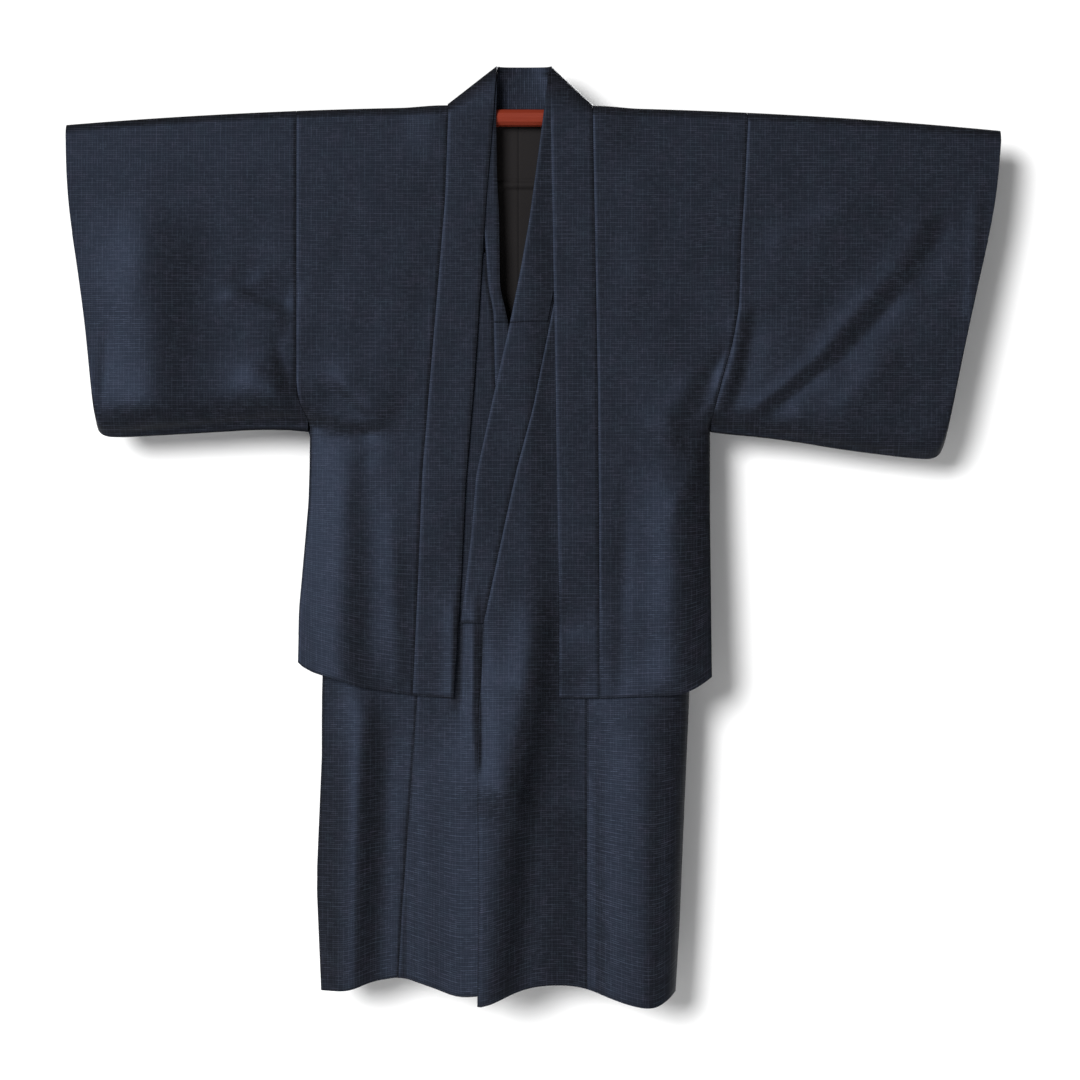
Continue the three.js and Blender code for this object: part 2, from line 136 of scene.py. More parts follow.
# The kimono's body: two strips of checked silk pongee, each hung over the rod from the front hem
# to the back hem, sewn together down the middle of the back and at the sides below the sleeves.
LEFT, RIGHT = -1, 1
SIDES = {"left": LEFT, "right": RIGHT}
ROD_RADIUS = 0.0135
SEAM = 0.0003
CLOTH = 0.0015
KIMONO_LEVEL = ROD_RADIUS + SEAM + CLOTH / 2
OVERLAP_LIFT = 0.004
SEWN = 0.0017
SILK = 0.0013
FLARE = 0.018
DRAW_IN = {LEFT: 0.06, RIGHT: 0.014}
CLOSING = 0.014


def columns(names, *rows):
    """A table with named columns, a row for each point."""
    return dict(zip(names.split(), np.array(rows, float).T))


def track(rows, start, to, reach=0.012):
    """Column `to` against column `start`: straight between rows, its corners rounded over `reach`
    by the mean of five places, the two ends kept."""
    def value(at):
        at = np.asarray(at, float)
        low, high = rows[start][0], rows[start][-1]
        room = np.minimum(reach, np.minimum(np.abs(at - low), np.abs(high - at)))
        places = [at + room * k for k in (-1, -0.5, 0, 0.5, 1)]
        return np.mean([np.interp(place, rows[start], rows[to]) for place in places], axis=0)
    return value


def ramp(value, start, stop):
    """0 before start, 1 after stop, and the smooth step 3t^2 - 2t^3 between."""
    t = np.clip((value - start) / (stop - start), 0, 1)
    return t * t * (3 - 2 * t)


def rod_z(x):
    """Height of the rod's axis: it sags by a parabola and tilts a little."""
    return -0.0622 * x * x - 0.004 * x


FOLD = "x1 z1 x2 z2 width depth"
front_folds = columns(
    FOLD,
    (-0.268, -0.94, -0.272, -1.4, 0.034, 0.006),
    (-0.06, -0.86, -0.07, -1.4, 0.042, 0.006), (0.096, -0.8, 0.09, -1.4, 0.044, -0.015),
    (0.208, -0.88, 0.21, -1.4, 0.05, 0.007), (-0.278, -0.54, -0.284, -0.86, 0.03, 0.006),
    (-0.236, -0.58, -0.236, -0.9, 0.022, -0.003), (0.235, -0.52, 0.238, -0.86, 0.04, 0.009),
    (-0.582, -0.12, -0.57, -0.44, 0.06, 0.011),
    (-0.43, -0.38, -0.37, -0.44, 0.026, 0.004), (0.56, -0.12, 0.42, -0.26, 0.06, 0.002),
    (0.59, -0.38, 0.48, -0.47, 0.04, 0.002), (-0.64, -0.452, -0.37, -0.446, 0.045, 0.006))
back_folds = columns(
    FOLD,
    (-0.21, -0.8, -0.22, -1.4, 0.036, 0.014), (-0.12, -0.9, -0.12, -1.4, 0.034, -0.012),
    (-0.01, -0.85, -0.008, -1.4, 0.04, 0.015), (0.08, -0.9, 0.078, -1.4, 0.03, -0.013),
    (0.16, -0.8, 0.165, -1.4, 0.034, 0.012), (-0.22, -0.42, -0.24, -0.86, 0.05, 0.006),
    (0.19, -0.46, 0.2, -0.86, 0.046, 0.006), (0.62, -0.14, 0.4, -0.42, 0.04, -0.006),
    (-0.6, -0.16, -0.43, -0.42, 0.044, -0.005))
# Small creases that the hand feels: under the arms, across the chest and down the sleeves.
creases = columns(
    FOLD,
    (-0.325, -0.478, -0.222, -0.472, 0.008, 0.0022), (-0.335, -0.50, -0.24, -0.53, 0.012, -0.0018),
    (0.335, -0.33, 0.243, -0.465, 0.014, -0.003), (0.30, -0.46, 0.24, -0.60, 0.014, 0.002),
    (0.52, -0.13, 0.40, -0.19, 0.020, 0.0015), (0.57, -0.36, 0.50, -0.44, 0.018, 0.002),
    (-0.47, -0.29, -0.40, -0.25, 0.012, 0.0015), (-0.63, -0.30, -0.645, -0.46, 0.012, -0.0015),
    (-0.38, -0.33, -0.355, -0.46, 0.010, -0.0016), (0.70, -0.10, 0.69, -0.30, 0.012, 0.0015),
    (-0.20, -0.60, -0.19, -0.86, 0.014, 0.0016), (0.16, -0.55, 0.15, -0.88, 0.014, -0.0015),
    (-0.17, -1.0, -0.176, -1.4, 0.012, -0.003), (0.105, -0.95, 0.11, -1.4, 0.014, -0.003),
    (0.215, -0.98, 0.21, -1.4, 0.014, -0.003), (-0.268, -1.06, -0.27, -1.4, 0.012, -0.002))


def fold_depth(folds, x, z):
    """Sum over the folds of depth * exp(-(distance to the fold's line / width)^2), each fold
    fading in along its line from its first end."""
    total = np.zeros(np.broadcast(x, z).shape)
    for x1, z1, x2, z2, width, depth in zip(*folds.values()):
        run_x, run_z = x2 - x1, z2 - z1
        t = np.clip(((x - x1) * run_x + (z - z1) * run_z) / (run_x ** 2 + run_z ** 2), 0, 1)
        distance = np.hypot(x1 + run_x * t - x, z1 + run_z * t - z)
        total += depth * np.exp(-(distance / width) ** 2) * ramp(0.25 + 2 * t, 0, 1)
    return total


# Sharp creases, where the cloth steps back across a line from its left side to its right side.
steps = columns(
    FOLD,
    (0.640, -0.150, 0.585, -0.250, 0.011, 0.004), (0.590, -0.240, 0.470, -0.372, 0.0075, 0.0065),
    (0.480, -0.362, 0.362, -0.458, 0.005, 0.0045), (0.350, -0.295, 0.330, -0.400, 0.008, 0.004),
    (0.335, -0.385, 0.296, -0.492, 0.008, 0.005), (0.430, -0.450, 0.375, -0.490, 0.009, -0.002),
    (0.290, -0.400, 0.235, -0.500, 0.012, 0.005), (-0.300, -0.400, -0.222, -0.470, 0.010, -0.004),
    (-0.322, -0.488, -0.225, -0.476, 0.007, -0.003), (-0.245, -0.455, -0.262, -0.620, 0.014, 0.0015),
    (-0.450, -0.262, -0.360, -0.300, 0.010, 0.003), (-0.375, -0.360, -0.345, -0.470, 0.012, 0.003),
    (-0.098, -0.740, -0.101, -0.900, 0.004, 0.004), (-0.067, -0.750, -0.066, -1.000, 0.004, 0.004),
    (-0.228, -0.860, -0.246, -1.400, 0.018, 0.016), (0.044, -0.740, 0.030, -0.890, 0.014, 0.009),
    (0.034, -0.860, 0.001, -1.060, 0.016, 0.014), (0.005, -1.000, -0.024, -1.400, 0.016, 0.014))


def step_depth(x, z):
    """Sum over the steps of -depth * tanh(s) * exp(-(s/4)^2), with s the distance to the right of
    the step's line over its width; each fades in and out past its ends."""
    total = np.zeros(np.broadcast(x, z).shape)
    for x1, z1, x2, z2, width, depth in zip(*steps.values()):
        run_x, run_z = x2 - x1, z2 - z1
        length = math.hypot(run_x, run_z)
        t = ((x - x1) * run_x + (z - z1) * run_z) / length ** 2
        s = ((z - z1) * run_x - (x - x1) * run_z) / length / width
        profile = depth * np.tanh(s) * np.exp(-(s / 4) ** 2)
        total -= profile * ramp(t, -0.15, 0.35) * (1 - ramp(t, 0.85, 1.15))
    return total


def slack(x, z):
    """The soft unevenness of hung silk: a slow slanting wave and a finer one, 1 mm at most."""
    drop = ramp(-z, 0.02, 0.2)
    slow = np.sin(23 * x + 9 * np.sin(5 * z + 1)) * np.sin(7 * z + 3 * x)
    fine = np.sin(61 * x - 17 * z + 2 * np.sin(11 * z)) * np.sin(13 * z + 29 * x)
    return drop * (0.0007 * slow + 0.0003 * fine)


def face_depth(level, x, z, is_front):
    """Distance of a face of the garment from the middle plane: its level at the rod, what it
    stands out towards the hem, and its folds and creases."""
    folds = fold_depth(front_folds if is_front else back_folds, x, z)
    fine = fold_depth(creases, x, z) if is_front else -0.6 * fold_depth(creases, x, z)
    if is_front:
        fine = fine + step_depth(x, z)
    return level + FLARE * ramp(-z, 0.1, 1.3) + folds + fine + slack(x, z)


kimono_side = {
    LEFT: columns(
        "drop x", (0, -0.338), (0.35, -0.33), (0.45, -0.298), (0.545, -0.298), (0.9, -0.308),
        (0.988, -0.308), (1.173, -0.3157), (1.33, -0.309)),
    RIGHT: columns(
        "drop x", (0, 0.338), (0.126, 0.332), (0.25, 0.318), (0.354, 0.295), (0.45, 0.258),
        (0.545, 0.256), (0.881, 0.257), (1.05, 0.2495), (1.235, 0.2418), (1.33, 0.236)),
}
kimono_hem = {
    LEFT: columns(
        "x z", (-0.308, -1.343), (-0.269, -1.343), (-0.231, -1.328), (-0.185, -1.32),
        (-0.139, -1.335), (-0.099, -1.35), (-0.068, -1.348), (-0.02, -1.34)),
    RIGHT: columns(
        "x z", (-0.068, -1.363), (-0.058, -1.364), (-0.043, -1.358), (-0.029, -1.351),
        (-0.008, -1.343), (0.02, -1.335), (0.051, -1.333), (0.082, -1.335), (0.111, -1.343),
        (0.13, -1.351), (0.165, -1.363), (0.197, -1.369), (0.216, -1.363), (0.237, -1.343)),
}
kimono_band = {
    LEFT: columns(
        "drop seam edge", (0, -0.097, -0.04), (0.091, -0.077, -0.0385), (0.149, -0.064, -0.0354),
        (0.183, -0.0574, -0.035), (0.26, -0.052, -0.0339), (0.296, -0.044, -0.025),
        (0.4, -0.042, -0.004), (0.5, -0.036, 0.006), (0.6, -0.03, 0.01), (0.758, -0.02, 0.013)),
    RIGHT: columns(
        "drop seam edge", (0, 0.095, 0.0323), (0.071, 0.083, 0.0229), (0.16, 0.07, 0.0108),
        (0.234, 0.0585, -0.0022), (0.313, 0.043, -0.0185), (0.366, 0.0323, -0.0315),
        (0.445, 0.0165, -0.05), (0.536, -0.0085, -0.0705), (0.627, -0.0293, -0.078),
        (0.758, -0.059, -0.094)),
}
okumi = {
    LEFT: columns(
        "drop seam edge", (0.206, -0.059, -0.056), (0.266, -0.08, -0.051), (0.313, -0.1, -0.043),
        (0.4, -0.115, -0.042), (0.6, -0.14, -0.03), (0.758, -0.151, -0.02), (1.24, -0.185, -0.02),
        (1.33, -0.19, -0.02)),
    RIGHT: columns(
        "drop seam edge", (0.206, 0.065, 0.062), (0.266, 0.084, 0.052), (0.313, 0.095, 0.043),
        (0.4, 0.1, 0.024), (0.758, 0.1, -0.059), (0.838, 0.1, -0.062), (0.884, 0.1, -0.0655),
        (1.026, 0.1, -0.068), (1.167, 0.1, -0.0655), (1.33, 0.1, -0.068)),
}
OKUMI_TOP = 0.206
kimono = {
    "name": "kimono", "length": 1.33, "back_hem": -1.316, "armhole": 0.34, "back_end": 1.0,
    "side": kimono_side, "hem": kimono_hem, "band": kimono_band, "band_level": 0.0148, "grows": 0.0,
    "neck_top": {"z": 0.071, LEFT: -0.037, RIGHT: 0.041},
}


def level_of(garment, half, x, z, from_seam):
    """Level of a garment's face at the rod: the haori hangs looser below the shoulder and rises
    over the collars by its seam; the kimono's left front rises over the right one."""
    if garment["name"] == "haori":
        hung = HAORI_LEVEL + LOOSE * ramp(-z, 0.015, 0.09)
        near = ramp(-from_seam, -0.076, -0.011)
        return hung + (garment["band_level"] - 0.00025 - hung) * near
    return KIMONO_LEVEL + overlap_lift(half, x)


def overlap_lift(half, x):
    """How far the left front (viewer's right) rides over the right one near the middle."""
    return OVERLAP_LIFT * ramp(-x, -0.06, -0.005) if half == RIGHT else 0 * x


def panel_depth(garment, level, x, z, side, v, is_front):
    """A body panel's depth: its face, drawn in to the sewn side as 1 - exp(-distance), slowly on
    the viewer's left and quickly on the right, where the side hangs fuller."""
    draw_in = np.where(x < 0, DRAW_IN[LEFT], DRAW_IN[RIGHT])
    face = face_depth(level, x, z, is_front)
    above = (garment["armhole"] - v) * garment["length"]
    closed = SEWN + (face - SEWN) * (1 - np.exp(-np.maximum(above, 0) / CLOSING))
    sewn = np.where(above > 0, closed, SEWN - above * garment["grows"])
    return sewn + (face - sewn) * (1 - np.exp(-np.abs(x - side) / draw_in))


def round_rod(x, radius, angle):
    """Points on an arc round the rod, 0 in front and pi behind."""
    y, z = -radius * np.cos(angle), rod_z(x) + radius * np.sin(angle)
    return np.stack(np.broadcast_arrays(x, y, z), -1)


def front_inner(garment, half, drop):
    """Inner edge of a body panel: the collar seam, or the okumi seam below the okumi's tip."""
    band = track(garment["band"][half], "drop", "seam")(drop)
    if garment["name"] == "haori":
        return band
    return np.where(drop >= OKUMI_TOP, track(okumi[half], "drop", "seam")(drop), band)


TURN = np.radians(np.array([15, 30, 45, 60, 75, 90, 97, 105, 112, 120, 127, 135, 142, 150]))[:, None]
NECK_TURN = math.pi / 3
BODY_ROWS = 130
SHOULDER_ROW = BODY_ROWS + len(TURN) // 2


def neckline_x(neck_x, angle):
    """The back neckline: neck_x * sqrt(1 - how far it has turned down round the rod)."""
    return neck_x * np.sqrt(1 - np.clip((angle - math.pi / 2) / NECK_TURN, 0, 1))


def spaced(count):
    """Shares from 0 to 1, six times closer together at both ends."""
    t = np.linspace(0, 1, count)
    return t - 0.133 * np.sin(2 * math.pi * t)


def roll(*distances):
    """How far cloth turns in at its sewn edges: 0.9 mm * exp(-(distance / 2.5 mm)^2) for each."""
    return sum(0.0009 * np.exp(-(distance / 0.0025) ** 2) for distance in distances)


def body_grid(garment, half, across=60, down=BODY_ROWS):
    """One strip from the front hem over the shoulder to the back hem, with u from the side to the
    inner edge: x = side + (inner - side) * u, z = rod + (hem - rod) * v, y = -depth or +depth."""
    u = spaced(across)[None, :]
    side_x, hem_z = track(garment["side"][half], "drop", "x"), track(garment["hem"][half], "x", "z")
    v = np.linspace(1, 0, down)[:, None]
    drop = v * garment["length"]
    side, inner = side_x(drop), front_inner(garment, half, drop)
    x = side + (inner - side) * u
    z = rod_z(x) + (hem_z(x) - rod_z(x)) * v
    level = level_of(garment, half, x, z, np.abs(x - inner))
    depth = panel_depth(garment, level, x, z, side, v, True) - roll(x - inner, x - side)
    front = np.stack([x, -depth, z], -1)
    neck_x = front_inner(garment, half, 0.0)
    inner = np.where(TURN < math.radians(148), neckline_x(neck_x, TURN), half * SEAM)
    x = side_x(0.0) + (inner - side_x(0.0)) * u
    shoulder = round_rod(x, level_of(garment, LEFT, x, 0 * x, np.abs(x) - abs(neck_x)), TURN)
    v = np.linspace(0, garment["back_end"], down)[:, None]
    side = side_x(v * garment["length"])
    x = side + (half * SEAM - side) * u
    z = rod_z(x) + (garment["back_hem"] - rod_z(x)) * v
    near = np.abs(x) - abs(neck_x) + 0.4 * ramp(-z, 0.01, 0.15)
    level = level_of(garment, LEFT, x, z, near)
    depth = panel_depth(garment, level, x, z, side, v, False) - roll(x - half * SEAM, x - side)
    back = np.stack([x, depth, z], -1)
    return np.concatenate([front, shoulder, back])


def run_length(grid, start):
    """Distance along the grid's first axis from row `start`, as a mean over the columns."""
    step = np.linalg.norm(np.diff(grid, axis=0), axis=2).mean(axis=1)
    run = np.concatenate([[0], np.cumsum(step)])
    return run - run[start]


def flat_map(grid, down):
    """Coordinates on the flat cut, in metres: x across the strip and the run along it. The weft
    lies along the hem at the foot and level higher up."""
    middle = grid[..., 2].mean(axis=1, keepdims=True)
    level = ramp(-middle, 0.1, 0.3) * (1 - ramp(-middle, 0.6 * -middle.min(), -middle.min()))
    facing = np.where(grid[..., 1] < 0, -1, 1)
    run = run_length(grid, down)[:, None] + facing * (middle - grid[..., 2]) * level
    return np.stack([grid[..., 0], run], -1)


def cloth_piece(name, grid, flat, finish, thickness, ring=False):
    """A sheet on a grid of points, given its thickness on both sides. `flat` holds (first row,
    coordinates) pairs: a face takes its coordinates from the last pair that starts at or before
    it. A ring's columns join end to end."""
    rows, count = grid.shape[:2]
    i, j = np.meshgrid(np.arange(rows - 1), np.arange(count if ring else count - 1), indexing="ij")
    after = (j + 1) % count
    corners = [(i, j), (i, after), (i + 1, after), (i + 1, j)]
    faces = np.stack([a * count + b for a, b in corners], -1).reshape(-1, 4)
    coordinates = np.zeros(faces.shape + (2,))
    for first, values in flat:
        rows_from = (i.reshape(-1) >= first)
        coordinates[rows_from] = values.reshape(-1, 2)[faces[rows_from]]
    mesh = bpy.data.meshes.new(name)
    mesh.from_pydata(grid.reshape(-1, 3), [], faces.tolist())
    layer = mesh.uv_layers.new(name="flat")
    layer.data.foreach_set("uv", coordinates.reshape(-1))
    mesh.polygons.foreach_set("use_smooth", [True] * len(mesh.polygons))
    mesh.materials.append(finish.material)
    piece = bpy.data.objects.new(name, mesh)
    bpy.context.scene.collection.objects.link(piece)
    wall = piece.modifiers.new("thickness", "SOLIDIFY")
    wall.thickness, wall.offset, wall.use_even_offset = thickness, 0, False
    piece.modifiers.new("edges", "WEIGHTED_NORMAL").weight = 100
    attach(piece, "root")
    return piece


def checked_pongee():
    """Navy silk pongee: near-black ground, thin lighter weft lines every 3.1 mm with each second
    one stronger, fainter warp lines every 4.1 mm, both broken up and uneven as hand-spun yarn is."""
    WEFT, WARP = 3.1, 4.1
    silk = Finish("checked_pongee", Specular_IOR_Level=0.17, Specular_Tint=(0.43, 0.58, 0.96, 1))
    flat = silk.node("UVMap", {"uv_map": "flat"}, {})
    split = silk.tree.nodes.new("ShaderNodeSeparateXYZ")
    silk.tree.links.new(flat.socket, split.inputs[0])
    across = Value(silk.tree, split.outputs[0]) * 1000
    down = Value(silk.tree, split.outputs[1]) * 1000

    def noise(x, y, scale, detail=2.0):
        spot = silk.node("CombineXYZ", {}, {"X": x, "Y": y})
        return silk.node("TexNoise", {}, {"Vector": spot, "Scale": scale, "Detail": detail}, "Fac")

    def chance(x, y):
        spot = silk.node("CombineXYZ", {}, {"X": x, "Y": y})
        return silk.node("TexWhiteNoise", {"noise_dimensions": "2D"}, {"Vector": spot}, "Value")

    def lines(along, over, pitch, dash, seed):
        """Thin lines across `over`, cut into dashes that each have their own strength."""
        turn = over / pitch + noise(along, over, 0.05) * 0.5
        number = turn.floor()
        part = (along / dash + chance(number, seed) * 9 + noise(along, over, 0.2) * 0.8).floor()
        body = (1 - (turn.fract() - 0.5).size() * 2.0).power(1.7)
        return body * (chance(number + seed, part).power(2) * 0.75 + (number * 0.5).fract() * 0.6 + 0.1)

    weft = lines(across, down, WEFT, 10.0, 3.0)
    warp = lines(down, across, WARP, 11.0, 11.0)
    slub = noise(across * 0.5, down * 4.0, 0.5, 3.0)
    cloud = noise(across, down, 0.02, 3.0)
    check = weft * (cloud * 0.8 + 0.45) + warp * 0.42 + (slub - 0.5) * 0.2
    ground = silk.blend(cloud, (0.0042, 0.0042, 0.0046, 1), (0.0052, 0.0049, 0.0054, 1))
    tint = silk.blend(noise(across, down, 0.04), (0.018, 0.029, 0.036, 1), (0.030, 0.026, 0.040, 1))
    silk.feed("Base Color", silk.blend(check, ground, tint))
    silk.feed("Roughness", 0.49 - weft * 0.08 - warp * 0.04)
    silk.bump(weft + warp * 0.6 + slub * 0.5, 0.00025, 0.5)
    return silk


pongee = checked_pongee()
for side, half in SIDES.items():
    grid = body_grid(kimono, half)
    maps = [(0, flat_map(grid, SHOULDER_ROW))]
    shell = cloth_piece(f"kimono_body_{side}_cloth", grid, maps, pongee, SILK)
    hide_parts(f"kimono_body_{side}")

# The kimono's okumi: a long overlap panel on each front, cut to a point under the collar and
# sewn to the body strip's edge; the viewer's right one lies on top.


def okumi_grid(half, across=36, down=150):
    """x from the okumi seam to the collar seam, or to the front edge below the collar's end, and
    z = rod + (hem - rod) * v, at the depth of the kimono's front."""
    u, v = spaced(across)[None, :], np.linspace(1, OKUMI_TOP / kimono["length"], down)[:, None]
    drop = v * kimono["length"]
    seam = track(okumi[half], "drop", "seam")(drop) + half * 0.0001
    collar_end = kimono_band[half]["drop"][-1]
    inner = np.where(drop <= collar_end, track(kimono_band[half], "drop", "seam")(drop),
                     track(okumi[half], "drop", "edge")(drop))
    x = seam + (inner - seam) * u
    z = rod_z(x) + (track(kimono_hem[half], "x", "z")(x) - rod_z(x)) * v
    depth = face_depth(level_of(kimono, half, x, z, 0), x, z, True) - roll(x - seam, x - inner)
    return np.stack([x, -depth, z], -1)


for side, half in SIDES.items():
    grid = okumi_grid(half)
    maps = [(0, flat_map(grid, -1))]
    shell = cloth_piece(f"kimono_okumi_{side}_cloth", grid, maps, pongee, SILK)
    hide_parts(f"kimono_okumi_{side}")

# The sleeves: each is one strip folded over the rod, sewn along the bottom and up the outer edge
# to the stop of the cuff, with a rounded corner. The kimono's lie inside the haori's.
haori_rings = {
    LEFT: columns(
        "top x z", (-0.3468, -0.326, -0.487), (-0.4, -0.38, -0.481), (-0.455, -0.434, -0.484),
        (-0.51, -0.496, -0.487), (-0.56, -0.558, -0.49), (-0.6, -0.605, -0.492),
        (-0.632, -0.636, -0.493), (-0.655, -0.651, -0.488), (-0.672, -0.657, -0.47),
        (-0.686, -0.659, -0.41), (-0.695, -0.664, -0.345), (-0.701, -0.67, -0.28)),
    RIGHT: columns(
        "top x z", (0.3468, 0.289, -0.493), (0.4, 0.345, -0.498), (0.455, 0.4, -0.5),
        (0.51, 0.455, -0.51), (0.565, 0.52, -0.518), (0.615, 0.58, -0.524), (0.652, 0.628, -0.529),
        (0.682, 0.645, -0.524), (0.705, 0.654, -0.49), (0.721, 0.665, -0.425),
        (0.731, 0.678, -0.35), (0.736, 0.691, -0.28)),
}
SLEEVE_INSET = {"x": 0.014, "z": 0.034}
CUFF_BOW = 0.008
FAR = 9.0


def inner_rings(half):
    """The kimono's sleeve: the haori's rings drawn in, starting at the kimono's own armhole."""
    rows = {key: column[1:].copy() for key, column in haori_rings[half].items()}
    rows["top"] -= half * SLEEVE_INSET["x"]
    rows["x"] -= half * SLEEVE_INSET["x"]
    rows["z"] += SLEEVE_INSET["z"]
    side = track(kimono_side[half], "drop", "x")
    armhole = kimono["armhole"] * kimono["length"]
    rows["top"][0], rows["x"][0], rows["z"][0] = side(0.0) + half * SEAM, side(armhole), -armhole
    return rows


def sleeve_grid(garment, half, rings, along, down):
    """Rings, each a straight line from its top on the rod to its place on the sewn edge, down the
    front and up the back: the first follows the armhole seam, the last bows out at the cuff. The
    depth closes to the sewn edge as 1 - exp(-distance to the edge)."""
    count = len(rings["top"])
    j = spaced(along)[:, None] * (count - 1)
    top, foot_x, foot_z = (track({"j": np.arange(count), "to": rings[key]}, "j", "to", 0.8)(j)
                           for key in ("top", "x", "z"))
    away = (1 - j / (count - 1)) ** 2
    t = np.linspace(1, 0, down)[None, :]
    side_x, hem_z = track(garment["side"][half], "drop", "x"), track(garment["hem"][half], "x", "z")

    def face(is_front):
        v = t * garment["armhole"]
        seam_x = side_x(v * garment["length"]) + half * SEAM * (1 + t)
        hem = hem_z(seam_x) if is_front else garment["back_hem"]
        seam_z = rod_z(seam_x) + (hem - rod_z(seam_x)) * v
        bend = seam_x - (top[0] + (foot_x[0] - top[0]) * t)
        fall = seam_z - (rod_z(top[0]) + (foot_z[0] - rod_z(top[0])) * t)
        bow = half * CUFF_BOW * np.sin(math.pi * t) * (1 - away) ** 6
        x = top + (foot_x - top) * t + bend * away + bow
        z = rod_z(top) + (foot_z - rod_z(top)) * t + fall * away
        depth = face_depth(level_of(garment, LEFT, x, z, FAR), x, z, is_front) - roll(x - x[:1])
        gap = (1 - t) * np.abs(rod_z(top) - foot_z)
        depth = SEWN + (depth - SEWN) * (1 - np.exp(-gap / CLOSING))
        return np.stack([x, -depth if is_front else depth, z], -1)

    front, back = face(True), face(False)[:, ::-1]
    arc = round_rod(top, level_of(garment, LEFT, top, 0 * top, FAR), TURN.T)
    out = np.concatenate([foot_x - top, 0 * top, foot_z - rod_z(top)], 1)
    out /= np.linalg.norm(out, axis=1, keepdims=True)
    foot = (front[:, :1] + back[:, -1:]) / 2 + out[:, None] * 0.0012
    return np.concatenate([front, arc, back, foot], 1)


def sleeve_map(grid):
    """Coordinates on the sleeve's strip: x across it, and height down each face."""
    return np.stack([grid[..., 0], grid[..., 2] * np.sign(-grid[..., 1] + 1e-6)], -1)


for side, half in SIDES.items():
    grid = sleeve_grid(kimono, half, inner_rings(half), along=48, down=44)
    maps = [(0, sleeve_map(grid))]
    shell = cloth_piece(f"kimono_sleeve_{side}_cloth", grid, maps, pongee, SILK, ring=True)
    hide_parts(f"kimono_sleeve_{side}")

# The kimono's collar: a long band folded in half, sewn to both fronts and round the neck, and the
# over-collar, a shorter cover sewn on it where it wears, which ends in a seam across each front.
BAND_ROWS = 140
FRONT_FAN = 6


def band_grid(garment, ends, start=0.0, across=19, down=BAND_ROWS):
    """Both halves of a collar, from the viewer's left end round the neck to the right end: rows
    from the seam to the free edge. Past the shoulder each row's foot follows the neckline and its
    free end rises to the corner, so the band folds on the slant and stands behind the neck."""
    halves = []
    u = start + (1 - start) * spaced(across)[None, :]
    top = garment["neck_top"]
    middle = (top[LEFT] + top[RIGHT]) / 2
    for half in (LEFT, RIGHT):
        seam, edge = (track(garment["band"][half], "drop", key) for key in ("seam", "edge"))
        v = np.linspace(ends[half], 0, down)[:, None]
        drop = v * garment["length"]
        near, far = seam(drop) - half * SEAM, edge(drop)
        x = near + (far - near) * u
        z = rod_z(x) + (track(garment["hem"][half], "x", "z")(x) - rod_z(x)) * v
        lift = overlap_lift(half, x) if garment is kimono else 0
        depth = face_depth(garment["band_level"] + lift, x, z, True) - roll(x - near, x - far)
        front = np.stack([x, -depth, z], -1)
        rise = np.sin(np.minimum(TURN, math.pi / 2))
        inward = np.maximum(0, TURN / NECK_TURN - 1.5) ** 2
        free_x = edge(0.0) + (top[half] - edge(0.0)) * rise
        free_x = free_x + (middle - free_x) * inward
        free = np.stack([free_x, -garment["band_level"] * np.cos(TURN * 1.2), top["z"] * rise], -1)
        foot = round_rod(neckline_x(seam(0.0) - half * SEAM, TURN), garment["band_level"], TURN)
        foot[..., 2] += 0.0016 * np.sin(TURN)
        halves.append(np.concatenate([front, foot + (free - foot) * u[..., None]]))
    halves[0][-1] = (halves[0][-1] + halves[1][-1]) / 2
    return np.concatenate([halves[0], halves[1][-2::-1]])


def band_maps(grid, front_rows):
    """The band lies on the grain of its own length: down the fronts by height, and turned a
    quarter where it has folded to the back of the neck."""
    front = grid[..., [0, 2]]
    back = grid[..., [2, 0]]
    last = len(grid) - front_rows
    return [(0, front), (front_rows, back), (last - 1, front + (0.37, 0.11))]


def moved_out(grid, distance):
    """Every point moved along the surface's normal, found from its neighbours."""
    normal = np.cross(np.gradient(grid, axis=1), np.gradient(grid, axis=0))
    return grid + distance * normal / np.linalg.norm(normal, axis=2, keepdims=True)


COLLAR_END, COVER_END = 0.57, 0.235
bands = {
    "kimono_collar": (0.0018, 0.0, COLLAR_END, 0.0, (0.06, 2.02)),
    "kimono_over_collar": (0.0009, 0.0021, COVER_END, 0.06, (0.053, 1.0)),
}
for name, (thickness, out, end, start, cut) in bands.items():
    grid = band_grid(kimono, {LEFT: end, RIGHT: end}, start)
    maps = band_maps(grid, BAND_ROWS + FRONT_FAN)
    shell = cloth_piece(name + "_cloth", moved_out(grid, out), maps, pongee, thickness)
    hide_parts(name)

# The back lining: dark plain cotton inside the kimono's back, seen through the neck. It is sewn
# down its middle and has a tuck across it below the neck.
LINING = {"half": 0.112, "top": 0.006, "foot": 0.39, "seam_x": -0.006, "tuck": 0.094}


def lining_grid(half, across=30, down=160):
    """x from the side to the middle seam, z straight down, at the depth of the kimono's back less
    its wall; it dips to the middle seam and steps out below the tuck."""
    u = np.linspace(0, 1, across)[None, :] + np.zeros((down, 1))
    z = -np.linspace(LINING["top"], LINING["foot"], down)[:, None] + np.zeros((1, across))
    x = half * LINING["half"] + (LINING["seam_x"] + half * SEAM - half * LINING["half"]) * u
    level = KIMONO_LEVEL - CLOTH / 2 - SEAM - 0.0005
    tuck = ramp(-z, LINING["tuck"], LINING["tuck"] + 0.006) * ramp(z, -0.1080, -0.1066)
    fold = ramp(-z, 0.02, 0.09) * ramp(z, -0.0945, -0.0935)
    waves = 0.001 * np.sin(40 * x + 6 * z) * ramp(-z, 0.11, 0.2)
    depth = face_depth(level, x, z, False) - 0.0042 * tuck - 0.0018 * fold - np.abs(waves)
    return np.stack([x, depth, z], -1)


